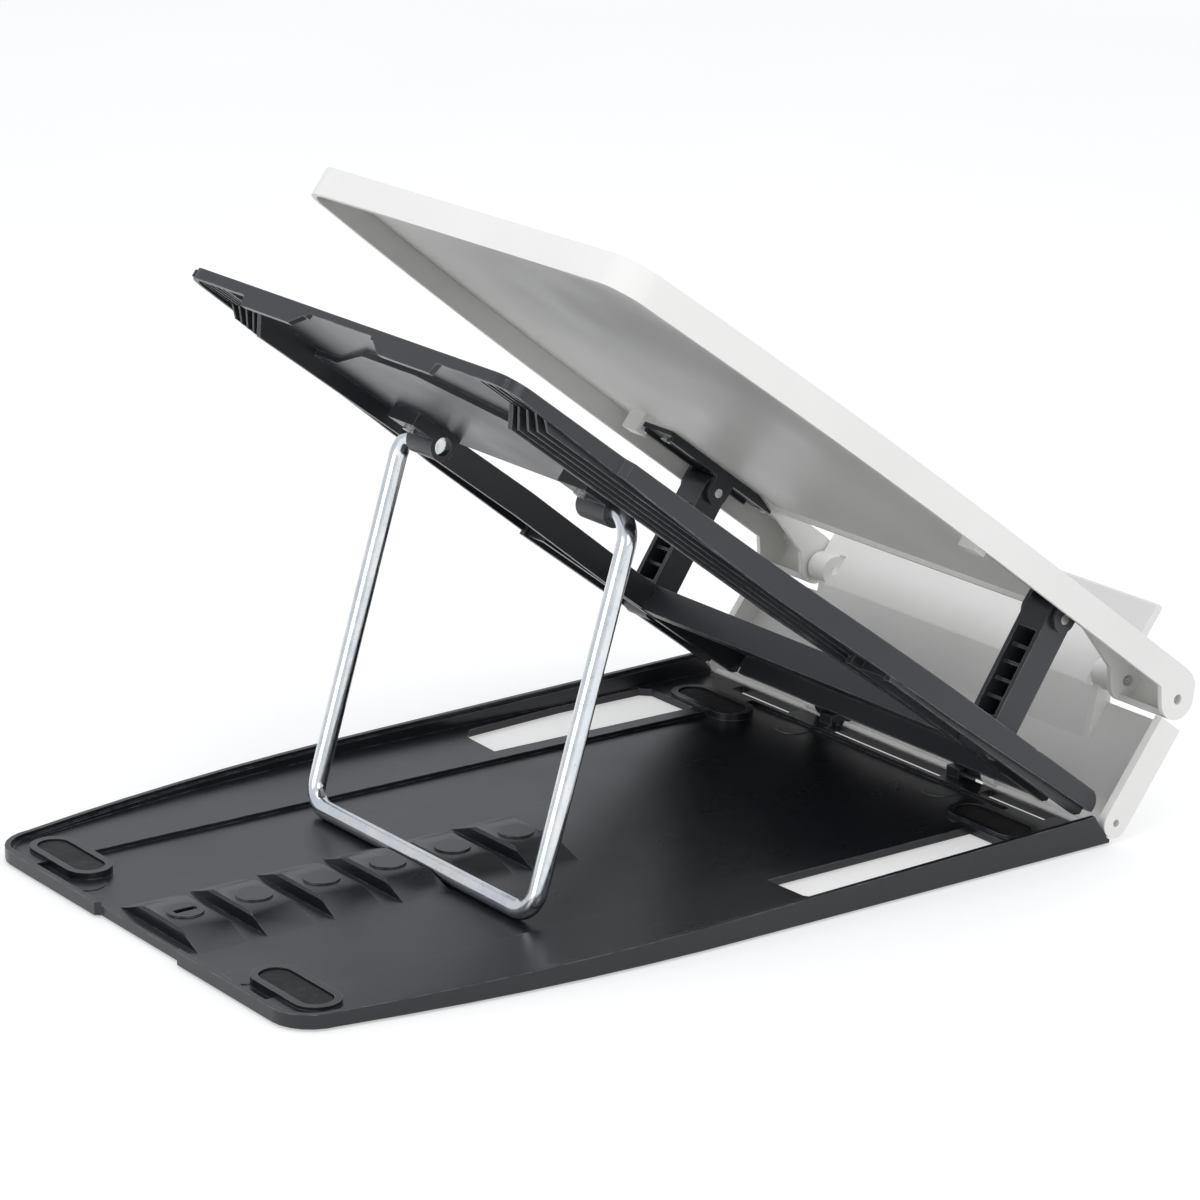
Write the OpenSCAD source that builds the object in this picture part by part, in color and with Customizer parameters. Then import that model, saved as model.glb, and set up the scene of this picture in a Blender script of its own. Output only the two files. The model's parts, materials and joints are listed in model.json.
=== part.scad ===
// Folding laptop stand: a base tray on rubber feet, a frame that tilts up on a wire bail,
// and a lid that lifts off the frame on a hinged front panel and two arms.
// X is the width, +Y is the back, Z is up, and the desk is at Z = 0.

/* [Base tray] */
// Width of the tray over its front half
base_w = 260; // [220:1:320]
// Width of the tray at its back edge
base_rear_w = 219; // [190:1:300]
// Length of the tray, front to back
base_len = 366.6; // [330:0.1:440]
// Height of the tray's underside over the desk
base_lift = 1; // [0.6:0.1:3]
// Thickness of the tray's floor
floor_t = 1.5; // [1.2:0.1:3]
// Height of the side shelves over the floor
shelf_rise = 1.8; // [0.8:0.1:2.4]
// Distance from the middle to the edge of the side shelves
shelf_x = 84; // [78:1:90]
// Height of the rim at the front
rim_front_h = 12.7; // [9:0.1:16]
// Height of the rim at the back
rim_rear_h = 5.4; // [4:0.1:8]
// Thickness of the rim
rim_t = 3.6; // [2.4:0.1:4]
// Radius of the tray's back corners
rear_r = 17; // [8:1:24]

/* [Bail steps] */
// Number of steps that hold the bail's foot
steps = 6; // [3:1:6]
// Distance from one step to the next
step_pitch = 30; // [26:0.5:32]
// Width of a step at the floor
step_w = 57; // [44:1:90]
// Length of a step's sloping ends
step_end = 15; // [8:0.5:18]
// Height of a step over the floor
step_h = 5; // [4.6:0.1:7]
// Radius of the round disc on a step
disc_r = 7.2; // [3:0.1:7.5]
// Distance from the tray's back edge to the first step
step_inset = 10; // [7:0.1:14]
// Step whose front the bail's foot stands against, counted from the back
foot_step = 4; // [3:1:5]

/* [Rubber feet] */
// Length of a foot, across the tray
foot_l = 40; // [30:1:46]
// Width of a foot
foot_w = 13; // [9:0.5:16]
// Distance from the middle to the centre of a back foot
foot_rear_x = 82; // [76:1:86]
// Distance from the middle to the centre of a front foot
foot_front_x = 92; // [84:1:96]
// Distance from the tray's back edge to the centre of the back feet
foot_rear_in = 19; // [16:0.5:24]
// Distance from the tray's front edge to the centre of the front feet
foot_front_in = 28; // [24:0.5:34]

/* [Frame] */
// Slope of the frame as it stands
tilt = 37.1; // [30:0.1:42]
// Width of the frame
frame_w = 250; // [214:1:308]
// Length of the frame from the hinge line to its back edge
frame_len = 350; // [330:1:354]
// Height of the frame's rim
frame_h = 11.8; // [10:0.1:12.4]
// Thickness of the frame's skins and walls
frame_t = 2.5; // [1.6:0.1:3]
// Narrowing of each side over the frame's back half
waist = 12; // [6:0.5:14]
// Further narrowing of each side at the small step near the back
shoulder = 3; // [1:0.5:5]
// Width of the side rails at the front
rail_w = 29; // [28:0.5:31]
// Distance from the middle to the rails at the back
rail_back = 84; // [78:0.5:86]
// Length of the closed panel at the front
front_panel = 68; // [60:1:72]
// Distance from the hinge line to the front of the closed panel at the back
rear_panel_at = 234; // [228:1:250]
// Thickness of the thin ribs under the rails
rib_t = 1.2; // [0.8:0.1:1.8]
// Distance between the ribs
rib_pitch = 5.2; // [3.6:0.1:5.6]
// Radius of the frame's back corners
frame_r = 10; // [6:1:16]

/* [Hinge line] */
// Height of the hinge line over the desk
hinge_z = 8.4; // [8.2:0.1:11]
// Distance from the tray's front edge to the hinge line
hinge_out = 3.3; // [2:0.1:4]
// Radius of a hinge barrel
knuckle_r = 5.2; // [4:0.1:5.6]
// Radius of the hinge pins
pin_r = 1.5; // [1.2:0.1:2.2]
// Distance from the middle to the start of the hinge barrels
knuckle_x = 37.6; // [30:0.1:44]
// Width of one hinge barrel
knuckle_w = 7.8; // [6:0.1:9]

/* [Front panel] */
// Thickness of the panel's side flanges
flange_t = 12.6; // [11:0.1:13]
// Width of a side flange
flange_w = 3.9; // [2.5:0.1:4.1]
// Height of the flanges over the hinge line
flange_h = 45.2; // [40:0.1:45.3]
// Thickness of the panel's skin
skin_t = 2.5; // [1.8:0.1:3]
// Width of the tongue that rises between the lid's noses
tongue_w = 180; // [150:1:184]
// Width of the stop flap over the lid
flap_w = 193; // [170:1:194]
// Height of the flap's top edge over the hinge line
flap_h = 88.5; // [80:0.5:90]
// Thickness of the tongue and flap
tongue_t = 3.6; // [2.4:0.1:4]

/* [Lifting links] */
// Distance between the pivots of a link, along the lean of the arms
link_up = 54.7; // [50:0.1:58]
// Lean of the links to the back as the lid stands raised
link_back = 3.4; // [2:0.1:8]
// Distance from the hinge line to the arms' lower pivots
arm_at = 66.5; // [64:0.5:70]
// Distance from the middle to the inner face of an arm
arm_x = 103; // [102:0.5:104]
// Width of an arm
arm_w = 15; // [13:0.5:15.4]
// Depth of an arm
arm_d = 13.4; // [11:0.1:13.6]
// Wall thickness of an arm
arm_t = 2.2; // [1.6:0.1:3]
// Radius of the arm pins
arm_pin_r = 2; // [1.5:0.1:2.6]
// Swing of the links when the lid folds down, in degrees
swing = 70; // [60:1:72]

/* [Lid] */
// Width of the lid over its front half
lid_w = 260; // [220:1:320]
// Length of the lid from its pivots to the back edge
lid_len = 323; // [290:1:340]
// Height of the lid's top face over its pivots
lid_top = 12.4; // [11.5:0.1:13.2]
// Height of the lid's side walls
lid_wall_h = 12.2; // [9:0.1:12.4]
// Thickness of the lid's top
lid_t = 2.5; // [1.8:0.1:3]
// Distance from the pivots to the front edge of the lid's top
lid_notch = 35; // [34:0.5:40]
// Radius of the lid's noses
nose_r = 8.6; // [7:0.1:8.8]
// Radius of the lid's back corners
lid_r = 16; // [8:1:24]

/* [Bail] */
// Radius of the bail's wire
wire_r = 3.75; // [2.5:0.05:3.8]
// Distance from the middle to the centre of a leg
bail_x = 76.5; // [72:0.5:78]
// Bend radius of the wire, at its centre line
bend_r = 10; // [8:0.5:14]
// Distance from the hinge line to the bail's pivot
bail_at = 246; // [243:1:250]
// Depth of the bail's pivot under the hinge line, across the frame
bail_under = 4.7; // [4.2:0.1:4.8]
// Length of the turned-in ends
bail_end = 26; // [24:0.5:30]

/* [Fits] */
// Radial clearance of a turning pin
running = 0.05; // [0.02:0.01:0.1]
// Gap between faces that move past each other
gap = 0.5; // [0.3:0.05:0.8]

/* [Hidden] */

big = 600;
$fn = 48;

dark = [0.19, 0.20, 0.21];
white = [0.87, 0.87, 0.85];
black = [0.07, 0.07, 0.07];
zinc = [0.72, 0.74, 0.76];

// Where things are along the tray
base_front = -base_len / 2;
base_rear = base_len / 2;
hinge_y = base_front - hinge_out;
floor_top = base_lift + floor_t;
flange_r = flange_t / 2;
frame_top = flange_r - 0.1;
frame_low = frame_top - frame_h;
frame_from = 10;
rail_low = frame_low + 0.1;
side_wall_h = frame_h - 1.8;
back_wall_h = 4.4;
back_low = frame_low + 3.1;
back_notch = 21.5;
panel_low = frame_top - 5;
sunk_t = 2;
frame_side = frame_w / 2;
rail_in = frame_side - rail_w;
panel_rear = frame_from + front_panel;
slot_in = arm_x - gap;
slot_out = arm_x + arm_w + gap;
slot_end = 132;
clip_in = bail_x - bail_end - 2;
clip_out = bail_x - bend_r - gap;
screw_r = 1.2;
screw_back = 12;
rail_screws_at = [33.5, 98];
rail_wall = 2;
arm_lean = atan(link_back / link_up);
arm_len = norm([link_back, link_up]);
fold_s = arm_len * sin(arm_lean + swing);
fold_n = arm_len * cos(arm_lean + swing);
lug_r = arm_pin_r + 3.4;
tongue_s = link_back - tongue_t / 2;

// The bail's foot stands in the gap in front of its step
step_gap = 2 * wire_r + 2 * gap;
step_l = step_pitch - step_gap;
step_1 = base_rear - step_inset;
foot_y = step_1 - foot_step * step_pitch + step_gap / 2;
foot_z = floor_top + wire_r + 0.1;
bail_y = hinge_y + bail_at * cos(tilt) + bail_under * sin(tilt);
bail_z = hinge_z + bail_at * sin(tilt) - bail_under * cos(tilt);
bail_len = norm([foot_y - bail_y, foot_z - bail_z]);
bail_angle = atan2(foot_y - bail_y, bail_z - foot_z);

// Marks in the tray
disc_h = 0.7;
mark_r = 7.5;
window_rear = -41.6;
window_front = base_front + foot_front_in + foot_w / 2 + 4.3;
mark_h = 0.35;
mark_in = 12;
mark_rear_x = 57.5;
mark_front_x = 48;
notch_w = step_w + 6;
notch_d = 2.2;
ledge_w = 1.4;
ledge_below = 1.6;

// The object's box, front to back, so that the origin is under its middle
flap_y = hinge_y - (flap_h - 1) * sin(tilt) + tongue_s * cos(tilt);
mid_y = (flap_y + base_rear) / 2;

// Half widths of the tray and the lid, which bow in towards the back
function tray_side(y) = base_w / 2 - (base_w - base_rear_w) / 2 * pow(max(0, y) / base_rear, 2);
lid_bow_at = 106;
lid_rear_w = lid_w - 50;
function lid_side(u) =
    lid_w / 2 - (lid_w - lid_rear_w) / 2 * pow(max(0, u - lid_bow_at) / (lid_len - lid_bow_at), 2);

// Half width of the frame, which draws in gently behind its middle and has a small step near the back
waist_from = 100;
waist_to = 230;
step_from = 286;
function eased(t) = (1 - cos(180 * min(1, max(0, t)))) / 2;
function frame_in(s) =
    waist * eased((s - waist_from) / (waist_to - waist_from)) + shoulder * eased((s - step_from) / 4);

// Distance from the middle to the inner edge of a rail
function rail_at(s) =
    lookup(s, [[0, rail_in], [waist_from, rail_in], [waist_from + 70, rail_back], [big, rail_back]]);

module row() {
    translate([0, -mid_y, 0]) children();
}

// The frame's own axes: Y runs up the slope from the hinge line, Z is square to the slope
module on_frame() {
    row() translate([0, hinge_y, hinge_z]) rotate([tilt, 0, 0]) children();
}

module on_lid() {
    on_frame() translate([0, link_back, link_up]) children();
}

module both_sides() {
    children();
    mirror([1, 0, 0]) children();
}

// A block between two corners
module block(low, high) {
    translate(low) cube(high - low);
}

// A rod along X from one place to another
module rod(x0, x1, r, y = 0, z = 0, fn = 48) {
    translate([x0, y, z]) rotate([0, 90, 0]) cylinder(r = r, h = x1 - x0, $fn = fn);
}

// A profile drawn in Y and Z, run along X
module along_x(x0, x1) {
    translate([x0, 0, 0]) rotate([90, 0, 90]) linear_extrude(height = x1 - x0) children();
}

// An oblong in plan with round ends
module oblong(l, w, h) {
    linear_extrude(height = h) {
        square([l - w, w], center = true);
        translate([(l - w) / 2, 0]) circle(d = w);
        translate([(w - l) / 2, 0]) circle(d = w);
    }
}

// A closed outline from its right half
module both_halves(half) {
    polygon(concat(half, [for (i = [len(half) - 1 : -1 : 0]) [-half[i][0], half[i][1]]]));
}

// A rounded corner of an outline, with its centre at x, y
function corner_points(x, y, r) = [for (i = [1 : 6]) [x + r * cos(15 * i), y + r * sin(15 * i)]];

// The tray's outline, drawn in by an inset
module tray_outline(inset = 0) {
    n = 14;
    r = rear_r - min(inset, rear_r - 3);
    y0 = base_front + (inset > 0 ? 0.01 : 0);
    y1 = base_rear - inset - r;
    x1 = tray_side(y1) - inset - r;
    side = [for (i = [0 : n]) let (y = y0 + (y1 - y0) * i / n) [tray_side(y) - inset, y]];
    both_halves(concat(side, corner_points(x1, y1, r)));
}

// What stands over the rim's sloping top, or over a ledge below it
module over_rim(below = 0) {
    fall = atan((rim_front_h - rim_rear_h) / base_len);
    translate([0, base_front, base_lift + rim_front_h - below]) rotate([-fall, 0, 0])
        block([-big, -40, 0], [big, base_len + 80, 60]);
}

// The rim between two insets
module rim(outer, inner, below) {
    difference() {
        translate([0, 0, base_lift]) linear_extrude(height = rim_front_h) difference() {
            tray_outline(outer);
            tray_outline(inner);
        }
        over_rim(below);
    }
}

// A window in the side shelf, beside the rim
module side_window() {
    outer = base_w / 2 - rim_t - 1.4;
    linear_extrude(height = 30, center = true)
        polygon([[shelf_x + 8, window_rear], [outer - 12, window_rear - 1], [outer - 4, window_rear - 7],
            [outer, window_rear - 56], [outer, window_front + 4], [outer - 4, window_front],
            [shelf_x + 7, window_front]]);
}

module front_windows() {
    block([knuckle_x + 3 * knuckle_w + 1, base_front + 3, -1], [102, base_front + 10, 30]);
}

// A step: upright at its front, where it holds the bail's foot, with sloping ends
module bail_step(y) {
    top = floor_top + step_h;
    low = floor_top - 0.5;
    half = step_w / 2;
    translate([0, y, 0]) {
        intersection() {
            along_x(-half, half) polygon([[0, low], [-1, top - 1], [-2, top], [1 - step_l, top],
                [-step_l, top - 0.8], [-step_l, low]]);
            rotate([90, 0, 0]) linear_extrude(height = 2 * step_l, center = true)
                polygon([[-half, low], [-half, floor_top], [step_end - half, top + 0.01],
                    [half - step_end, top + 0.01], [half, floor_top], [half, low]]);
        }
        translate([0, -1 - step_l / 2, floor_top]) cylinder(r = disc_r, h = step_h + disc_h);
    }
}

module foot_places() {
    both_sides() {
        translate([foot_rear_x, base_rear - foot_rear_in, 0]) children();
        translate([foot_front_x, base_front + foot_front_in, 0]) children();
    }
}

module base_tray() {
    color(dark) row() {
        difference() {
            union() {
                translate([0, 0, base_lift]) linear_extrude(height = floor_t) tray_outline();
                rim(0, rim_t - ledge_w, 0);
                rim(rim_t - ledge_w - 0.1, rim_t, ledge_below);
                // Raised shelves along both sides, and a low bar at the front
                difference() {
                    translate([0, 0, base_lift]) linear_extrude(height = floor_t + shelf_rise)
                        tray_outline(0.5);
                    block([-shelf_x, base_front + 12, 0], [shelf_x, base_rear + 1, 30]);
                    over_rim();
                }
                // The foot bosses
                foot_places() oblong(foot_l + 6, foot_w + 6, floor_top + 3.2);
                for (i = [0 : steps - 1]) bail_step(step_1 - i * step_pitch);
                // Round ejector marks on the floor
                both_sides() {
                    translate([mark_rear_x, base_rear - mark_in, base_lift])
                        cylinder(r = mark_r, h = floor_t + mark_h);
                    translate([mark_front_x, base_front + mark_in + 6, base_lift])
                        cylinder(r = mark_r, h = floor_t + mark_h);
                }
            }
            both_sides() side_window();
            both_sides() front_windows();
            block([-knuckle_x, base_front + 3, -1], [knuckle_x, base_front + 10, 30]);
            foot_places() translate([0, 0, -1]) oblong(foot_l, foot_w, 30);
            // A slot in the disc of the first step
            translate([0, step_1 - 1 - step_l / 2, floor_top + step_h - 2])
                block([-1.6, -disc_r + 2.4, 0], [1.6, disc_r - 2.4, 4]);
            // A shallow notch in the back edge, as wide as the steps
            translate([0, base_rear, -1]) linear_extrude(height = 30)
                polygon([[-notch_w / 2, 1], [3 - notch_w / 2, -notch_d], [notch_w / 2 - 3, -notch_d],
                    [notch_w / 2, 1]]);
            // The hollow front edge that the panel's round foot turns in
            rod(-big, big, flange_r + gap, hinge_y, hinge_z);
            translate([0, hinge_y, hinge_z]) rotate([tilt - swing, 0, 0])
                both_sides() block([base_w / 2 - rim_t - 1, 0, 0], [big, flange_r + gap, flange_h]);
            block([-big, base_front - 20, base_lift - 1], [big, base_front, 60]);
            translate([0, 0, -1]) linear_extrude(height = base_lift + 1) square(2 * big, center = true);
        }
        both_sides() difference() {
            union() {
                rod(knuckle_x, knuckle_x + knuckle_w, knuckle_r, hinge_y, hinge_z);
                block([knuckle_x, hinge_y, base_lift], [knuckle_x + knuckle_w, base_front + 6, hinge_z]);
            }
            rod(knuckle_x - 1, knuckle_x + knuckle_w + 1, pin_r, hinge_y, hinge_z);
        }
    }
}

module foot(x, y) {
    color(black) row() translate([x, y, 0]) oblong(foot_l, foot_w, floor_top + 2.4);
}

module hinge_pin(side) {
    x0 = knuckle_x - 0.5;
    x1 = knuckle_x + 3 * knuckle_w + 2 * gap;
    color(zinc) row() translate([side < 0 ? -x1 : x0, 0, 0]) rod(0, x1 - x0, pin_r, hinge_y, hinge_z);
}

// The frame's outline, drawn in by an inset
module frame_outline(inset = 0) {
    n = 8;
    r = frame_r - min(inset, frame_r - 3);
    y1 = frame_len - inset - r;
    ys = concat([frame_from + inset], [for (i = [0 : n]) waist_from + (waist_to - waist_from) * i / n],
        [for (i = [0 : 4]) step_from + i], [y1]);
    side = [for (y = ys) [frame_side - inset - frame_in(y), y]];
    both_halves(concat(side, corner_points(frame_side - inset - frame_in(y1) - r, y1, r)));
}

// The frame's outer walls seen from the side, lower at the middle than at either end
module frame_side_view() {
    polygon([[0, frame_top], [0, frame_top - 7.5], [waist_from, frame_top - side_wall_h],
        [200, frame_top - side_wall_h], [frame_len + 1, frame_top - back_wall_h],
        [frame_len + 1, frame_top]]);
}

// The opening between the rails, and the same shape taken in or out by a margin
module opening(margin = 0) {
    ends = [panel_rear, waist_from, waist_from + 70, rear_panel_at];
    both_halves([for (s = ends) [rail_at(s) + margin, s]]);
}

// The sunk panel behind the opening, which the bail's clips hang from
module sunk_panel(inset = 0) {
    both_halves([[rail_back + 1 - inset, rear_panel_at + inset], [rail_back + 1 - inset, 296 - inset],
        [68 - inset / 2, 296 - inset], [18 - inset / 2, 322 - inset]]);
}

// A thin rib seen from the side, deep along the rail and low behind it
module rib_side_view(from, low) {
    polygon([[from, frame_top - 1], [from, low], [322, low], [327, 2.2], [frame_len - 1, 2.2],
        [frame_len - 1, frame_top - 1]]);
}

module platform_frame() {
    skin_low = frame_top - frame_t;
    color(dark) on_frame() {
        difference() {
            union() {
                difference() {
                    intersection() {
                        translate([0, 0, frame_low]) linear_extrude(height = frame_h) frame_outline();
                        along_x(-big, big) frame_side_view();
                    }
                    // Hollow from below, so the frame is a skin with a rim
                    translate([0, 0, frame_low - 1]) linear_extrude(height = skin_low - frame_low + 1)
                        frame_outline(frame_t);
                }
                // Rails beside the opening
                translate([0, 0, rail_low]) linear_extrude(height = frame_top - rail_low)
                    difference() {
                        opening(frame_t);
                        opening();
                        block([-big, 0, -1], [big, panel_rear + 0.5, 1]);
                        block([-big, rear_panel_at - 0.5, -1], [big, big, 1]);
                    }
                both_sides() along_x(rail_back, rail_back + frame_t)
                    rib_side_view(rear_panel_at - 1, rail_low);
                // Walls along both edges of the arm slots
                both_sides() {
                    block([slot_in - 3.2, 12, frame_low], [slot_in, slot_end + 8, frame_top]);
                    block([slot_out, 12, frame_low], [slot_out + 3.2, slot_end + 4, frame_top]);
                    block([slot_in - 3.2, slot_end, frame_low + 1],
                        [slot_out + 3.2, slot_end + 2, frame_top]);
                }
                // Thin ribs under the rails, each less deep than the one inside it
                both_sides() for (i = [1 : 4])
                    along_x(rail_back + rib_pitch * i, rail_back + rib_pitch * i + rib_t)
                        rib_side_view(slot_end + 4, rail_low + 0.9 * i);
                // The sunk panel's floor and its edge
                translate([0, 0, panel_low]) linear_extrude(height = sunk_t) sunk_panel();
                translate([0, 0, panel_low]) linear_extrude(height = frame_top - panel_low)
                    difference() {
                        sunk_panel();
                        sunk_panel(1.6);
                    }
                // Lips along the front panel
                block([-rail_in, panel_rear - 7, frame_low], [rail_in, panel_rear, frame_top]);
                block([-rail_in, 12, frame_low + 1], [rail_in, 14.5, frame_top]);
                // Deeper stretches of the back wall beside its notch
                both_sides() translate([0, frame_len, 0]) rotate([90, 0, 0])
                    linear_extrude(height = frame_t) polygon([[back_notch, frame_top - 3],
                        [back_notch + 9, back_low], [64, back_low], [66, frame_top - 3]]);
                both_sides() rod(knuckle_x + knuckle_w + gap, knuckle_x + 2 * knuckle_w + gap, knuckle_r);
                both_sides() block([knuckle_x + knuckle_w + gap, 0, -3.4],
                    [knuckle_x + 2 * knuckle_w + gap, 14, 3.4]);
            }
            translate([0, 0, -40]) linear_extrude(height = 80) opening();
            // Hollow top of the sunk panel
            translate([0, 0, panel_low + sunk_t]) linear_extrude(height = 40) sunk_panel(1.6);
            // Slots that the arms fold into
            both_sides() block([slot_in, arm_at - arm_d / 2 - 1.2, -40], [slot_out, slot_end, 40]);
            // Room for the lid's noses and its rails' lugs when it is folded
            both_sides() rod(tongue_w / 2 - 5, big, nose_r + 2 * gap, fold_s, fold_n);
            both_sides() rod(slot_in - 4, slot_out + 4, lug_r + gap, arm_at + fold_s, fold_n);
            // The back wall is cut away over the bail steps
            translate([0, frame_len + 1, 0]) rotate([90, 0, 0]) linear_extrude(height = frame_t + 2)
                polygon([[-back_notch - 9, frame_low - 9], [-back_notch, frame_top - 3],
                    [back_notch, frame_top - 3], [back_notch + 9, frame_low - 9]]);
            // Bores for the pins
            rod(-big, big, pin_r + running);
            both_sides() rod(slot_in - 5, slot_out + 2.4, arm_pin_r, arm_at);
            // The front corners are round
            difference() {
                block([-big, 5, -20], [big, 14, 20]);
                block([-rail_in - 3, 0, -20], [rail_in + 3, 20, 20]);
                rod(-big, big, frame_h / 2, frame_from + frame_h / 2, (frame_top + frame_low) / 2);
                block([-big, frame_from + frame_h / 2, -20], [big, 40, 20]);
            }
            block([knuckle_x - 0.6, -10, -20], [knuckle_x + knuckle_w + gap, 11, 20]);
        }
    }
}

// The clips that hold the bail's ends to the frame
module bail_clip(side) {
    color(dark) on_frame() mirror([side < 0 ? 1 : 0, 0, 0]) difference() {
        union() {
            rod(clip_in, clip_out, wire_r + 2.2, bail_at, -bail_under);
            block([clip_in, bail_at - 1, -bail_under], [clip_out, bail_at + 18, panel_low]);
            block([clip_in, bail_at - wire_r - 2.2, -bail_under], [clip_out, bail_at, panel_low]);
        }
        rod(clip_in - 1, clip_out + 1, wire_r + running, bail_at, -bail_under);
        translate([(clip_in + clip_out) / 2, bail_at + screw_back, -bail_under - 1])
            cylinder(r = screw_r, h = 20);
        block([clip_in - 1, bail_at - 20, panel_low], [clip_out + 1, bail_at + 30, 20]);
    }
}

// A round-head screw with a cross slot, its head below Z = 0
module screw(head_r, head_h, shank_h) {
    difference() {
        translate([0, 0, -head_h]) cylinder(r = head_r, h = head_h);
        block([-0.4, 0.8 - head_r, -head_h - 1], [0.4, head_r - 0.8, 0.8 - head_h]);
        block([0.8 - head_r, -0.4, -head_h - 1], [head_r - 0.8, 0.4, 0.8 - head_h]);
    }
    translate([0, 0, -0.1]) cylinder(r = screw_r, h = shank_h + 0.1);
}

module clip_screws() {
    color(zinc) on_frame() both_sides()
        translate([(clip_in + clip_out) / 2, bail_at + screw_back, -bail_under])
            screw(2.6, 1.6, bail_under + panel_low);
}

// A quarter bend of the wire
module wire_bend() {
    rotate_extrude(angle = 90, $fn = 48) translate([bend_r, 0]) circle(r = wire_r);
}

// The bail hangs from its pivot down its own -Z
module bail_wire() {
    foot_x = bail_x - bend_r;
    color(zinc) row() translate([0, bail_y, bail_z]) rotate([bail_angle, 0, 0]) {
        both_sides() {
            translate([bail_x, 0, -bail_len + bend_r]) cylinder(r = wire_r, h = bail_len - 2 * bend_r);
            translate([foot_x, 0, -bail_len + bend_r]) rotate([90, 0, 0]) mirror([0, 1, 0]) wire_bend();
            // The top turns in to its pivot end
            translate([foot_x, 0, -bend_r]) rotate([90, 0, 0]) wire_bend();
            rod(bail_x - bail_end, foot_x, wire_r);
        }
        rod(-foot_x, foot_x, wire_r, 0, -bail_len);
    }
}

module on_arm(side) {
    on_frame() translate([0, arm_at, 0]) rotate([-arm_lean, 0, 0])
        mirror([side < 0 ? 1 : 0, 0, 0]) children();
}

module arm(side) {
    half = arm_d / 2;
    color(dark) on_arm(side) difference() {
        union() {
            rod(arm_x, arm_x + arm_w, half);
            rod(arm_x, arm_x + arm_w, half, 0, arm_len);
            block([arm_x, -half, 0], [arm_x + arm_w, half, arm_len]);
        }
        // The channel is open at the back, with cross ribs left in it
        difference() {
            block([arm_x + arm_t, -half + arm_t, 9], [arm_x + arm_w - arm_t, half + 1, arm_len - 9]);
            for (i = [1 : 4])
                block([arm_x, -half, 9 + i * (arm_len - 18) / 5 - 0.7],
                    [arm_x + arm_w, half - 2.4, 9 + i * (arm_len - 18) / 5 + 0.7]);
        }
        rod(arm_x - 1, arm_x + arm_w + 1, arm_pin_r + running);
        rod(arm_x - 1, arm_x + arm_w + 1, arm_pin_r + running, 0, arm_len);
    }
}

module arm_lower_pin(side) {
    color(zinc) on_frame() mirror([side < 0 ? 1 : 0, 0, 0])
        rod(slot_in - 3.2, slot_out + 2.4, arm_pin_r, arm_at);
}

module arm_upper_pin(side) {
    color(zinc) on_frame() mirror([side < 0 ? 1 : 0, 0, 0])
        rod(slot_in - rail_wall, slot_out + rail_wall, arm_pin_r, arm_at + link_back, link_up);
}

// The lid's outline in plan, drawn in by an inset, with its axes at the pivots
module lid_outline(inset = 0) {
    n = 14;
    u0 = -nose_r - 1;
    r = lid_r - min(inset, lid_r - 3);
    u1 = lid_len - inset - r;
    x1 = lid_side(u1) - inset - r;
    side = [for (i = [0 : n]) let (u = u0 + (u1 - u0) * i / n) [lid_side(u) - inset, u]];
    both_halves(concat(side, corner_points(x1, u1, r)));
}

// The lid seen from the side: a round nose under the front of the top
module lid_side_view() {
    low = lid_top - lid_wall_h;
    circle(r = nose_r);
    polygon([[-7.37, 4.43], [-4, 10], [0, lid_top - 0.5], [4, lid_top], [lid_len + 1, lid_top],
        [lid_len + 1, low], [nose_r + 3, low], [6.5, -5.6]]);
}

ear_x = flap_w / 2 + 1.4;

module lid_shell() {
    low = lid_top - lid_wall_h;
    color(white) on_lid() difference() {
        union() {
            difference() {
                intersection() {
                    translate([0, 0, -20]) linear_extrude(height = 60) lid_outline();
                    along_x(-big, big) lid_side_view();
                }
                // Hollow from below
                translate([0, 0, -20]) linear_extrude(height = 20 + lid_top - lid_t) intersection() {
                    lid_outline(lid_t);
                    translate([-big, -nose_r - 20]) square([2 * big, big]);
                }
            }
            // Inner ears with the pivot bores
            both_sides() intersection() {
                block([ear_x, -nose_r - 2, -20], [ear_x + lid_t, lid_notch + 12, lid_top]);
                along_x(-big, big) union() {
                    circle(r = nose_r);
                    polygon([[-7.37, 4.43], [-4, 10], [0, lid_top - 0.5], [4, lid_top],
                        [lid_notch + 12, lid_top], [lid_notch + 12, lid_top - lid_t], [nose_r + 3, low],
                        [6.5, -5.6]]);
                }
            }
            // The nose's front wall between the ear and the side
            both_sides() intersection() {
                block([ear_x, -nose_r - 2, -20], [lid_w / 2 - 1, 30, lid_top]);
                along_x(-big, big) difference() {
                    lid_side_view();
                    circle(r = nose_r - lid_t);
                    translate([0, -20]) square([60, 20 + lid_top - lid_t]);
                }
            }
            // Lip along the front edge of the top
            block([-ear_x, lid_notch, lid_top - lid_t - 2], [ear_x, lid_notch + 2, lid_top]);
            // Hook tabs that hang beside the rails
            both_sides() {
                block([ear_x + 6, 118, lid_top - 11], [ear_x + 16, 120, lid_top - 1]);
                block([ear_x + 6, 114, lid_top - 11], [ear_x + 16, 120, lid_top - 9]);
            }
        }
        block([-ear_x, -30, -40], [ear_x, lid_notch, 40]);
        rod(-big, -ear_x + 1, arm_pin_r + running);
        rod(ear_x - 1, ear_x + lid_t + 1, arm_pin_r + running);
    }
}

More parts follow.
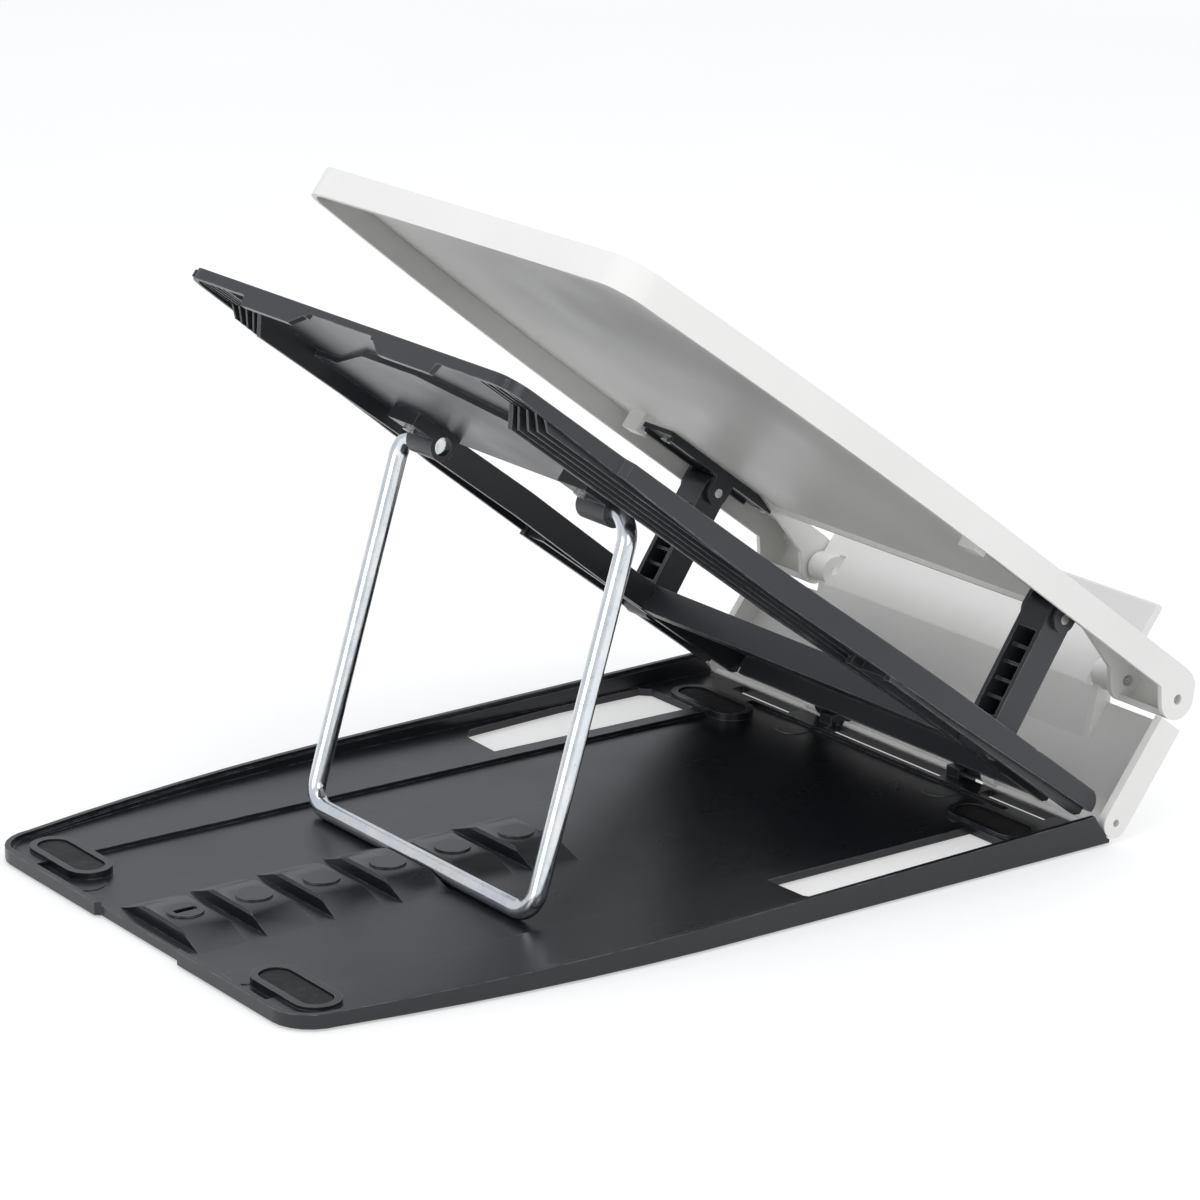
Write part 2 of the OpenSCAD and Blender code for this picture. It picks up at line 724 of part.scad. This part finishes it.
// The rail under the lid that carries an arm's upper pivot
module lid_rail(side) {
    floor_z = lid_top - lid_t;
    color(dark) on_lid() mirror([side < 0 ? 1 : 0, 0, 0]) difference() {
        union() {
            block([slot_in - rail_wall, 30, floor_z - 2], [slot_out + rail_wall, 105, floor_z]);
            for (x = [slot_in - rail_wall, slot_out]) {
                rod(x, x + rail_wall, lug_r, arm_at);
                block([x, arm_at - lug_r, 0], [x + rail_wall, arm_at + lug_r, floor_z]);
                block([x, 36, floor_z - 4], [x + rail_wall, 103, floor_z]);
            }
        }
        rod(slot_in - 4, slot_out + 4, arm_pin_r, arm_at);
        block([0, 0, floor_z], [200, 200, floor_z + 20]);
        for (u = rail_screws_at) translate([arm_x + arm_w / 2, u, 0]) cylinder(r = screw_r, h = 20);
    }
}

module rail_screws() {
    floor_z = lid_top - lid_t;
    color(zinc) on_lid() both_sides() for (u = rail_screws_at)
        translate([arm_x + arm_w / 2, u, floor_z - 2]) screw(2.4, 1.4, 2);
}

// The front panel: side flanges, a skin, a tongue between the lid's noses and the stop flap
module spine_panel() {
    skin_y = -flange_r;
    side = base_w / 2;
    knee = flange_h - 17;
    // The tongue's back face starts where it clears the frame when folded
    knee_top = max(flange_h + 3, (frame_top + gap + (tongue_s + tongue_t) * sin(swing)) / cos(swing));
    knuckle_3 = knuckle_x + 2 * (knuckle_w + gap);
    pivot_y = link_back;
    color(white) on_frame() difference() {
        union() {
            both_sides() {
                rod(side - flange_w, side, flange_r);
                block([side - flange_w, -flange_r, 0], [side, flange_r, flange_h]);
            }
            block([-side + 1, skin_y, 0], [side - 1, skin_y + skin_t, flange_h]);
            // The skin's round foot
            along_x(-side + 1, side - 1) difference() {
                circle(r = flange_r);
                circle(r = flange_r - skin_t);
                square([20, 40], center = false);
                translate([-20, 0]) square([20, 40]);
                translate([0, -20]) square([20, 40]);
            }
            // The tongue steps back from the skin to the line of the pivots
            along_x(-tongue_w / 2, tongue_w / 2) polygon([[skin_y, knee], [skin_y + skin_t, knee],
                [tongue_s + tongue_t, knee_top], [tongue_s + tongue_t, link_up + 6],
                [tongue_s, link_up + 6], [tongue_s, knee_top + 2], [skin_y, knee + 5]]);
            along_x(-flap_w / 2, flap_w / 2) polygon([[tongue_s, link_up + 5],
                [tongue_s + tongue_t, link_up + 5], [tongue_s + tongue_t, flap_h - 1],
                [tongue_s + tongue_t - 1, flap_h], [tongue_s + 1, flap_h], [tongue_s, flap_h - 1]]);
            both_sides() {
                // Pivot lugs and the gussets beside the tongue
                rod(tongue_w / 2 - 4, flap_w / 2, 6.5, pivot_y, link_up);
                along_x(tongue_w / 2 - 3, tongue_w / 2) polygon([[skin_y + 1, knee - 4],
                    [tongue_s + tongue_t, knee_top], [tongue_s + tongue_t, link_up],
                    [tongue_s, link_up], [skin_y + 1, flange_h]]);
                rod(knuckle_3, knuckle_3 + knuckle_w, knuckle_r);
                block([knuckle_3, -flange_r + 1, -3], [knuckle_3 + knuckle_w, 0, knuckle_r]);
            }
        }
        // Room for the barrels of the tray and the frame
        both_sides() rod(knuckle_x - gap, knuckle_3 - gap / 2, flange_r + 1);
        rod(-big, big, pin_r + running);
        both_sides() rod(tongue_w / 2 - 8, flap_w / 2 + 1, arm_pin_r, pivot_y, link_up);
        both_sides() rod(tongue_w / 2 - 8, tongue_w / 2 - 4, 7.4, pivot_y, link_up);
    }
}

module lid_pin(side) {
    color(zinc) on_frame() mirror([side < 0 ? 1 : 0, 0, 0])
        rod(tongue_w / 2 - 4, ear_x + lid_t + 1, arm_pin_r, link_back, link_up);
}

base_tray();
foot(-foot_rear_x, base_rear - foot_rear_in);  // foot_rear_left
foot(foot_rear_x, base_rear - foot_rear_in);  // foot_rear_right
foot(-foot_front_x, base_front + foot_front_in);  // foot_front_left
foot(foot_front_x, base_front + foot_front_in);  // foot_front_right
hinge_pin(-1);  // hinge_pin_left
hinge_pin(1);  // hinge_pin_right
platform_frame();
bail_clip(-1);  // bail_clip_left
bail_clip(1);  // bail_clip_right
clip_screws();
bail_wire();
arm(-1);  // arm_left
arm(1);  // arm_right
arm_lower_pin(-1);  // arm_lower_pin_left
arm_lower_pin(1);  // arm_lower_pin_right
arm_upper_pin(-1);  // arm_upper_pin_left
arm_upper_pin(1);  // arm_upper_pin_right
lid_shell();
lid_rail(-1);  // lid_rail_left
lid_rail(1);  // lid_rail_right
rail_screws();
spine_panel();
lid_pin(-1);  // lid_pin_left
lid_pin(1);  // lid_pin_right
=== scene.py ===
"""Looks of a folding laptop stand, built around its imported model."""

import json
import logging
import math
from dataclasses import dataclass
from enum import Enum

import bpy
from mathutils import Matrix, Vector

LOG = logging.getLogger("laptop_stand")
MM = 0.001
IMAGE_SIZE = 1200

Colour = tuple[float, float, float]
Point = tuple[float, float, float]
Span = tuple[float, float]
Socket = bpy.types.NodeSocket

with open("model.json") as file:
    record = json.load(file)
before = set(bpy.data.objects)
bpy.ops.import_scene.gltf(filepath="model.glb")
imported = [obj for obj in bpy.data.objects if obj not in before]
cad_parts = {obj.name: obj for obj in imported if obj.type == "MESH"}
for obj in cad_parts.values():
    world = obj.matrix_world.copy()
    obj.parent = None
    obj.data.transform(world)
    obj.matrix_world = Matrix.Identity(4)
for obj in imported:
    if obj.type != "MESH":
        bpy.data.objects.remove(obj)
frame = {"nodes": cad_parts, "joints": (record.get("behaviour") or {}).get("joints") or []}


class Finish(Enum):
    """The finishes that a node can have."""

    DARK = "graphite_plastic"
    SATIN = "graphite_satin"
    WHITE = "warm_white_plastic"
    RUBBER = "foot_rubber"
    ZINC = "zinc_plate"
    STEEL = "pin_steel"


@dataclass(frozen=True)
class Edge:
    """How far a node's edges are rounded, and in how many faces."""

    width: float
    steps: int = 2


@dataclass(frozen=True)
class Pattern:
    """A noise pattern: waves a metre, how many finer layers, and how strong those are."""

    scale: float
    detail: float = 3.0
    rough: float = 0.55


@dataclass(frozen=True)
class Relief:
    """A pattern that stands out of a surface, by a depth in metres."""

    pattern: Pattern
    depth: float
    strength: float


class Shaders:
    """Makes the nodes of one material, one call a node."""

    MIDDLE: Span = (0.3, 0.7)

    def __init__(self, name: str) -> None:
        """Starts a material with a plain surface.

        Args:
            name: the material's name.
        """
        self.material = bpy.data.materials.new(name)
        self.material.use_nodes = True
        self.tree = self.material.node_tree
        self.tree.nodes.clear()
        output = self.tree.nodes.new("ShaderNodeOutputMaterial")
        self.surface = self.tree.nodes.new("ShaderNodeBsdfPrincipled")
        self.link(self.surface.outputs["BSDF"], output.inputs["Surface"])
        self.place = self.tree.nodes.new("ShaderNodeTexCoord").outputs["Object"]

    def link(self, source: Socket, target: Socket) -> None:
        """Joins two sockets."""
        self.tree.links.new(source, target)

    def feed(self, source: Socket, name: str) -> None:
        """Joins a socket to an input of the surface."""
        self.link(source, self.surface.inputs[name])

    def noise(self, pattern: Pattern) -> Socket:
        """Adds a noise pattern in the object's own space.

        Args:
            pattern: the pattern.

        Returns:
            The noise value, from 0 to 1.
        """
        node = self.tree.nodes.new("ShaderNodeTexNoise")
        node.inputs["Scale"].default_value = pattern.scale
        node.inputs["Detail"].default_value = pattern.detail
        node.inputs["Roughness"].default_value = pattern.rough
        self.link(self.place, node.inputs["Vector"])
        return node.outputs["Fac"]

    def ranged(self, value: Socket, span: Span, to: Span) -> Socket:
        """Maps a span of values onto another, held at its ends.

        Args:
            value: the socket that is mapped.
            span: the values that become the ends.
            to: the ends.

        Returns:
            The mapped value.
        """
        node = self.tree.nodes.new("ShaderNodeMapRange")
        node.inputs["From Min"].default_value, node.inputs["From Max"].default_value = span
        node.inputs["To Min"].default_value, node.inputs["To Max"].default_value = to
        self.link(value, node.inputs["Value"])
        return node.outputs["Result"]

    def mixed(self, share: Socket, first: Colour | Socket, second: Colour) -> Socket:
        """Mixes two colours.

        Args:
            share: how much of the second colour there is.
            first: the first colour, or a socket that gives it.
            second: the second colour.

        Returns:
            The mixed colour.
        """
        node = self.tree.nodes.new("ShaderNodeMix")
        node.data_type = "RGBA"
        factor, start, end = node.inputs[0], node.inputs[6], node.inputs[7]
        self.link(share, factor)
        if isinstance(first, tuple):
            start.default_value = (*first, 1.0)
        else:
            self.link(first, start)
        end.default_value = (*second, 1.0)
        return node.outputs[2]

    def edges(self, radius: float) -> Socket:
        """Finds the outer edges, where rubbed wear and a painted highlight go.

        Args:
            radius: how wide a strip beside an edge counts.

        Returns:
            1 on an edge and 0 away from it.
        """
        rounded = self.tree.nodes.new("ShaderNodeBevel")
        rounded.samples = 4
        rounded.inputs["Radius"].default_value = radius
        plain = self.tree.nodes.new("ShaderNodeNewGeometry")
        alike = self.tree.nodes.new("ShaderNodeVectorMath")
        alike.operation = "DOT_PRODUCT"
        self.link(rounded.outputs["Normal"], alike.inputs[0])
        self.link(plain.outputs["Normal"], alike.inputs[1])
        return self.ranged(alike.outputs["Value"], (0.995, 0.90), (0.0, 1.0))

    def times(self, first: Socket, second: Socket) -> Socket:
        """Multiplies two values.

        Args:
            first: the first value.
            second: the second value.

        Returns:
            Their product.
        """
        node = self.tree.nodes.new("ShaderNodeMath")
        node.operation = "MULTIPLY"
        self.link(first, node.inputs[0])
        self.link(second, node.inputs[1])
        return node.outputs[0]

    def bump(self, relief: Relief) -> None:
        """Adds a relief on top of the ones before.

        Args:
            relief: its pattern, depth and strength.
        """
        node = self.tree.nodes.new("ShaderNodeBump")
        node.inputs["Distance"].default_value = relief.depth
        node.inputs["Strength"].default_value = relief.strength
        self.link(self.noise(relief.pattern), node.inputs["Height"])
        normal = self.surface.inputs["Normal"]
        if normal.is_linked:
            self.link(normal.links[0].from_socket, node.inputs["Normal"])
        self.link(node.outputs["Normal"], normal)


@dataclass(frozen=True)
class MouldedPlastic:
    """A moulded plastic with spark-eroded grain, faint flow marks and lighter edges, part
    rubbed wear and part painted highlight.
    """

    name: str
    colour: Colour
    # Edge colour: partly rubbed wear, partly a painted highlight on the rounded edges.
    rubbed_and_highlight: Colour
    roughness: float
    spread: float = 0.08
    grain_strength: float = 0.25
    edge_strip: float = 0.7 * MM
    dimmed: float = 0.94
    clouds: Pattern = Pattern(9.0, 4.0)
    cloud_span: Span = (0.35, 0.68)
    patches: Pattern = Pattern(140.0, 4.0, 0.7)
    patch_span: Span = (0.42, 0.62)
    least_wear_and_highlight: float = 0.15
    smears: Pattern = Pattern(22.0, 3.0, 0.5)
    grain: Pattern = Pattern(2600.0, 2.0)
    grain_depth: float = 0.06 * MM
    flow: Relief = Relief(Pattern(55.0, 2.0), 0.4 * MM, 0.05)
    index: float = 1.5

    def make(self) -> bpy.types.Material:
        """Builds the material.

        Returns:
            The finished material.
        """
        s = Shaders(self.name)
        dim = tuple(part * self.dimmed for part in self.colour)
        clouds = s.ranged(s.noise(self.clouds), self.cloud_span, (0.0, 1.0))
        body = s.mixed(clouds, self.colour, dim)
        patchy = s.ranged(s.noise(self.patches), self.patch_span, (self.least_wear_and_highlight, 1.0))
        # Lightens the edges: partly rubbed wear, partly a painted highlight standing in for
        # edge glints.
        wear_and_highlight = s.times(s.edges(self.edge_strip), patchy)
        s.feed(s.mixed(wear_and_highlight, body, self.rubbed_and_highlight), "Base Color")
        dull_and_sleek = (self.roughness - self.spread, self.roughness + self.spread)
        s.feed(s.ranged(s.noise(self.smears), s.MIDDLE, dull_and_sleek), "Roughness")
        s.bump(Relief(self.grain, self.grain_depth, self.grain_strength))
        s.bump(self.flow)
        s.surface.inputs["IOR"].default_value = self.index
        return s.material


@dataclass(frozen=True)
class PlatedSteel:
    """Plated steel with the faint bluish patches and small stains of its plating."""

    name: str
    colour: Colour
    tint: Colour
    roughness: float
    patches: Pattern = Pattern(90.0, 5.0, 0.6)
    patch_span: Span = (0.36, 0.70)
    most_tint: float = 0.8
    stains: Pattern = Pattern(700.0)
    stain_span: Span = (0.62, 0.75)
    most_stain: float = 0.45
    stain_shade: float = 0.55
    smears: Pattern = Pattern(300.0, 4.0)
    smoother: float = 0.05
    rougher: float = 0.08
    pits: Relief = Relief(Pattern(900.0), 0.05 * MM, 0.12)

    def make(self) -> bpy.types.Material:
        """Builds the material.

        Returns:
            The finished material.
        """
        s = Shaders(self.name)
        patches = s.ranged(s.noise(self.patches), self.patch_span, (0.0, self.most_tint))
        stains = s.ranged(s.noise(self.stains), self.stain_span, (0.0, self.most_stain))
        stained = tuple(part * self.stain_shade for part in self.tint)
        s.feed(s.mixed(stains, s.mixed(patches, self.colour, self.tint), stained), "Base Color")
        s.surface.inputs["Metallic"].default_value = 1.0
        ends = (self.roughness - self.smoother, self.roughness + self.rougher)
        s.feed(s.ranged(s.noise(self.smears), s.MIDDLE, ends), "Roughness")
        s.bump(self.pits)
        return s.material


@dataclass(frozen=True)
class FootRubber:
    """Soft matt rubber with dust in its pores."""

    name: str
    colour: Colour
    dust: Colour
    specks: Pattern = Pattern(240.0, 5.0, 0.65)
    speck_span: Span = (0.52, 0.75)
    most_dust: float = 0.5
    smears: Pattern = Pattern(90.0)
    roughness: Span = (0.62, 0.86)
    pores: Relief = Relief(Pattern(3200.0, 2.0), 0.08 * MM, 0.5)

    def make(self) -> bpy.types.Material:
        """Builds the material.

        Returns:
            The finished material.
        """
        s = Shaders(self.name)
        dusty = s.ranged(s.noise(self.specks), self.speck_span, (0.0, self.most_dust))
        s.feed(s.mixed(dusty, self.colour, self.dust), "Base Color")
        s.feed(s.ranged(s.noise(self.smears), s.MIDDLE, self.roughness), "Roughness")
        s.bump(self.pores)
        return s.material


@dataclass(frozen=True)
class LightTable:
    """Pale paper lit from below, for the floor."""

    name: str
    colour: Colour
    paler: Colour
    glow: float
    clouds: Pattern = Pattern(1.5, 2.0)
    roughness: float = 0.9
    glow_colour: Colour = (1.0, 1.0, 0.99)

    def make(self) -> bpy.types.Material:
        """Builds the material.

        Returns:
            The finished material.
        """
        s = Shaders(self.name)
        clouds = s.ranged(s.noise(self.clouds), s.MIDDLE, (0.0, 1.0))
        s.feed(s.mixed(clouds, self.colour, self.paler), "Base Color")
        s.surface.inputs["Roughness"].default_value = self.roughness
        s.surface.inputs["Emission Color"].default_value = (*self.glow_colour, 1.0)
        s.surface.inputs["Emission Strength"].default_value = self.glow
        return s.material


class Finishes:
    """The materials of the whole stand, one for each finish."""

    # Each plastic's lighter edge colour is partly wear and partly a painted highlight.
    MAKERS = {
        Finish.DARK: MouldedPlastic(
            Finish.DARK.value,
            colour=(0.022, 0.024, 0.028),
            rubbed_and_highlight=(0.17, 0.175, 0.18),
            roughness=0.33,
            spread=0.05,
        ),
        Finish.SATIN: MouldedPlastic(
            Finish.SATIN.value,
            colour=(0.009, 0.010, 0.013),
            rubbed_and_highlight=(0.13, 0.135, 0.14),
            roughness=0.29,
            spread=0.03,
        ),
        Finish.WHITE: MouldedPlastic(
            Finish.WHITE.value,
            colour=(0.76, 0.755, 0.725),
            rubbed_and_highlight=(0.83, 0.83, 0.81),
            roughness=0.43,
            grain_strength=0.18,
        ),
        Finish.RUBBER: FootRubber(
            Finish.RUBBER.value, colour=(0.012, 0.012, 0.012), dust=(0.05, 0.05, 0.048)
        ),
        Finish.ZINC: PlatedSteel(
            Finish.ZINC.value,
            colour=(0.78, 0.79, 0.79),
            tint=(0.60, 0.66, 0.72),
            roughness=0.16,
        ),
        Finish.STEEL: PlatedSteel(
            Finish.STEEL.value,
            colour=(0.60, 0.60, 0.59),
            tint=(0.48, 0.48, 0.47),
            roughness=0.26,
        ),
    }

    def __init__(self) -> None:
        """Makes every material."""
        self.materials = {finish: maker.make() for finish, maker in self.MAKERS.items()}

    def __getitem__(self, finish: Finish) -> bpy.types.Material:
        """Gives the material of a finish."""
        return self.materials[finish]


class Shading:
    """Smooth shading over gentle edges, as a modifier's node tree."""

    ANGLE = math.radians(28)

    def __init__(self) -> None:
        """Builds the node tree once."""
        tree = bpy.data.node_groups.new("smooth_gentle_edges", "GeometryNodeTree")
        for way in ("INPUT", "OUTPUT"):
            tree.interface.new_socket(
                "Geometry", in_out=way, socket_type="NodeSocketGeometry"
            )
        start = tree.nodes.new("NodeGroupInput")
        end = tree.nodes.new("NodeGroupOutput")
        faces = tree.nodes.new("GeometryNodeSetShadeSmooth")
        edges = tree.nodes.new("GeometryNodeSetShadeSmooth")
        edges.domain = "EDGE"
        angle = tree.nodes.new("GeometryNodeInputMeshEdgeAngle")
        gentle = tree.nodes.new("FunctionNodeCompare")
        gentle.data_type = "FLOAT"
        gentle.operation = "LESS_EQUAL"
        gentle.inputs["B"].default_value = self.ANGLE
        for source, target in (
            (start.outputs[0], faces.inputs["Geometry"]),
            (faces.outputs[0], edges.inputs["Geometry"]),
            (angle.outputs["Unsigned Angle"], gentle.inputs["A"]),
            (gentle.outputs["Result"], edges.inputs["Shade Smooth"]),
            (edges.outputs[0], end.inputs[0]),
        ):
            tree.links.new(source, target)
        self.tree = tree

    def shade(self, thing: bpy.types.Object) -> None:
        """Adds the shading to an object."""
        modifier = thing.modifiers.new("shading", "NODES")
        modifier.node_group = self.tree


class Workshop:
    """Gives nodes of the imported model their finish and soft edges, and keeps their shape."""

    WELD = 0.004 * MM
    FLAT = math.radians(0.3)
    SHARP = math.radians(32)

    def __init__(self) -> None:
        """Makes the finishes and the shading."""
        self.finishes = Finishes()
        self.shading = Shading()

    def dress(self, name: str, finish: Finish, edge: Edge | None = None) -> None:
        """Dresses one node.

        Args:
            name: the node's name.
            finish: its finish.
            edge: how its edges are rounded, or None to leave them.
        """
        thing = frame["nodes"][name]
        if not thing.material_slots:
            thing.data.materials.append(None)
        for place in thing.material_slots:
            place.material = self.finishes[finish]
        weld = thing.modifiers.new("weld", "WELD")
        weld.merge_threshold = self.WELD
        if edge:
            self.round_edges(thing, edge)
        self.shading.shade(thing)
        if edge:
            even = thing.modifiers.new("even_normals", "WEIGHTED_NORMAL")
            even.keep_sharp = True
        LOG.info("dressed %s", name)

    def round_edges(self, thing: bpy.types.Object, edge: Edge) -> None:
        """Joins the flat faces of an object and rounds its sharp edges.

        Args:
            thing: the object.
            edge: how far and how finely they are rounded.
        """
        flat = thing.modifiers.new("flat_faces", "DECIMATE")
        flat.decimate_type = "DISSOLVE"
        flat.angle_limit = self.FLAT
        bevel = thing.modifiers.new("edges", "BEVEL")
        bevel.width = edge.width
        bevel.segments = edge.steps
        bevel.limit_method = "ANGLE"
        bevel.angle_limit = self.SHARP
        bevel.use_clamp_overlap = True

    def dress_pair(self, stem: str, finish: Finish, edge: Edge | None = None) -> None:
        """Dresses a left and a right node alike."""
        for side in ("left", "right"):
            self.dress(f"{stem}_{side}", finish, edge)


@dataclass(frozen=True)
class Lamp:
    """A square soft light: where it hangs, the length of its side and its power in watts."""

    name: str
    place: Point
    size: float
    power: float

    def hang(self, aim: Point) -> None:
        """Hangs the light.

        Args:
            aim: the point that it faces.
        """
        data = bpy.data.lights.new(self.name, "AREA")
        data.size = self.size
        data.energy = self.power
        lamp = bpy.data.objects.new(self.name, data)
        turn = (Vector(aim) - Vector(self.place)).to_track_quat("-Z", "Y").to_matrix()
        lamp.matrix_world = Matrix.Translation(self.place) @ turn.to_4x4()
        bpy.context.scene.collection.objects.link(lamp)


@dataclass
class Studio:
    """The pale floor, the soft lights and the camera.

    The camera's distances are in millimetres, and are taken from a point that has the
    stand's hinge line at hinge_at. The focal length fits a picture IMAGE_SIZE wide.
    """

    focal: float = 4295.17
    azimuth: float = 234.01
    elevation: float = 17.03
    roll: float = 0.35
    shift_right: float = -23.66
    shift_up: float = -96.10
    distance: float = 1693.24
    hinge_at: Point = (0.0, -186.6, 8.4)
    hinge_name: str = "frame_tilt"
    sensor: float = 36.0
    far_end: float = 20.0
    floor_reach: float = 6.0
    floor_paper: LightTable = LightTable(
        "floor_paper", colour=(0.58, 0.58, 0.58), paler=(0.61, 0.61, 0.61), glow=0.46
    )
    room_colour: Colour = (0.93, 0.95, 1.0)
    room_light: float = 0.80
    aim: Point = (0.0, 0.0, 0.1)
    lamps: tuple[Lamp, ...] = (
        Lamp("top_light", (-0.2, 0.2, 1.9), 1.6, 9.0),
        Lamp("left_light", (-1.9, 0.5, 0.9), 1.0, 6.0),
        Lamp("back_light", (-0.2, 2.0, 0.35), 1.1, 12.0),
    )

    def axes(self) -> tuple[Vector, Vector, Vector]:
        """Works out the camera's own axes.

        Returns:
            Right, up and back, as unit vectors.
        """
        a, e, r = (math.radians(v) for v in (self.azimuth, self.elevation, self.roll))
        back = Vector((math.sin(a) * math.cos(e), -math.cos(a) * math.cos(e), math.sin(e)))
        right = Vector((math.cos(a), math.sin(a), 0.0))
        up = back.cross(right)
        turned = math.cos(r) * right + math.sin(r) * up
        return turned, math.cos(r) * up - math.sin(r) * right, back

    def camera(self) -> None:
        """Sets up the scene's camera."""
        right, up, back = self.axes()
        place = -self.shift_right * right - self.shift_up * up + self.distance * back
        hinge = next(joint for joint in frame["joints"] if joint["name"] == self.hinge_name)
        place = (place - Vector(self.hinge_at)) * MM + Vector(hinge["pos_m"])
        data = bpy.data.cameras.new("camera")
        data.sensor_width = self.sensor
        data.lens = self.focal * self.sensor / IMAGE_SIZE
        data.clip_end = self.far_end
        camera = bpy.data.objects.new("camera", data)
        turn = Matrix((right, up, back)).transposed().to_4x4()
        camera.matrix_world = Matrix.Translation(place) @ turn
        bpy.context.scene.collection.objects.link(camera)
        bpy.context.scene.camera = camera

    def floor(self) -> None:
        """Lays a wide pale light table, which isn't part of the stand."""
        mesh = bpy.data.meshes.new("floor")
        r = self.floor_reach
        corners = [(-r, -r, 0), (r, -r, 0), (r, r, 0), (-r, r, 0)]
        mesh.from_pydata(corners, [], [(0, 1, 2, 3)])
        mesh.materials.append(self.floor_paper.make())
        floor = bpy.data.objects.new("floor", mesh)
        bpy.context.scene.collection.objects.link(floor)

    def room(self) -> None:
        """Lights the whole room evenly."""
        world = bpy.data.worlds.new("room")
        world.use_nodes = True
        walls = world.node_tree.nodes["Background"]
        walls.inputs["Color"].default_value = (*self.room_colour, 1.0)
        walls.inputs["Strength"].default_value = self.room_light
        bpy.context.scene.world = world
        bpy.context.scene.view_settings.view_transform = "Standard"

    def build(self) -> None:
        """Sets up the whole studio."""
        self.camera()
        self.floor()
        for lamp in self.lamps:
            lamp.hang(self.aim)
        self.room()


@dataclass
class Tray:
    """The base tray with its feet and hinge pins."""

    workshop: Workshop
    edge: Edge = Edge(0.45 * MM)
    foot_edge: Edge = Edge(0.6 * MM, 3)

    def dress(self) -> None:
        """Finishes the tray, the feet and the pins."""
        self.workshop.dress("base_tray", Finish.SATIN, self.edge)
        for end in ("front", "rear"):
            self.workshop.dress_pair(f"foot_{end}", Finish.RUBBER, self.foot_edge)
        self.workshop.dress_pair("hinge_pin", Finish.STEEL)


@dataclass
class TiltFrame:
    """The frame that tilts, with the bail's clips and the arms' lower pins."""

    workshop: Workshop
    edge: Edge = Edge(0.3 * MM)

    def dress(self) -> None:
        """Finishes the frame and what is fixed to it."""
        self.workshop.dress("platform_frame", Finish.DARK, self.edge)
        self.workshop.dress_pair("bail_clip", Finish.DARK, self.edge)
        self.workshop.dress("clip_screws", Finish.STEEL)
        self.workshop.dress_pair("arm_lower_pin", Finish.STEEL)


@dataclass
class Bail:
    """The bent wire that props the frame."""

    workshop: Workshop

    def dress(self) -> None:
        """Finishes the wire."""
        self.workshop.dress("bail_wire", Finish.ZINC)


@dataclass
class Lid:
    """The white lid with its rails, pins and screws."""

    workshop: Workshop
    edge: Edge = Edge(0.8 * MM, 3)
    rail_edge: Edge = Edge(0.3 * MM)

    def dress(self) -> None:
        """Finishes the lid and what is fixed to it."""
        self.workshop.dress("lid_shell", Finish.WHITE, self.edge)
        self.workshop.dress_pair("lid_rail", Finish.DARK, self.rail_edge)
        self.workshop.dress("rail_screws", Finish.STEEL)
        self.workshop.dress_pair("arm_upper_pin", Finish.STEEL)


@dataclass
class Arms:
    """The two arms that lift the lid."""

    workshop: Workshop
    edge: Edge = Edge(0.35 * MM)

    def dress(self) -> None:
        """Finishes both arms."""
        self.workshop.dress_pair("arm", Finish.DARK, self.edge)


@dataclass
class FrontPanel:
    """The white front panel with its stop flap and the lid's pins."""

    workshop: Workshop
    edge: Edge = Edge(0.6 * MM, 3)

    def dress(self) -> None:
        """Finishes the panel and its pins."""
        self.workshop.dress("spine_panel", Finish.WHITE, self.edge)
        self.workshop.dress_pair("lid_pin", Finish.STEEL)


def main() -> None:
    """Builds the studio and dresses the stand."""
    logging.basicConfig(level=logging.INFO, format="%(message)s")
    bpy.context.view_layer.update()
    Studio().build()
    workshop = Workshop()
    for part in (Tray, TiltFrame, Bail, Lid, Arms, FrontPanel):
        part(workshop).dress()


if __name__ == "__main__":
    main()
